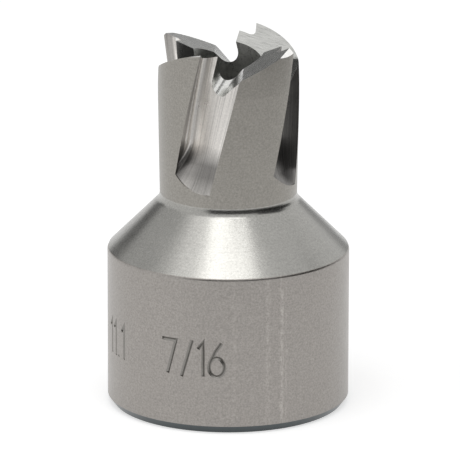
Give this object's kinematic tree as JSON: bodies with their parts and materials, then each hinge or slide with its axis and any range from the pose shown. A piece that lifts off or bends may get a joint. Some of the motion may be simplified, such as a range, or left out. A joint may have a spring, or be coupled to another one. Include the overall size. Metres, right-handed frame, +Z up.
{
  "type": "hole cutter",
  "caption": "Annular hole cutter of solid steel: a round socketed body narrows through a cone to a tubular end with helical flutes, gullets and relieved teeth.",
  "frame": {"origin": "centre of the ring that the body stands on", "axes": "+Z up the cutter's axis, from the socket mouth to the teeth; the pictured side faces -Y"},
  "size_m": [0.019, 0.019, 0.0293],
  "materials": {
    "steel": "ground, satin, warm grey"
  },
  "bodies": {
    "root": {"hole_cutter": "steel"}
  },
  "joints": []
}
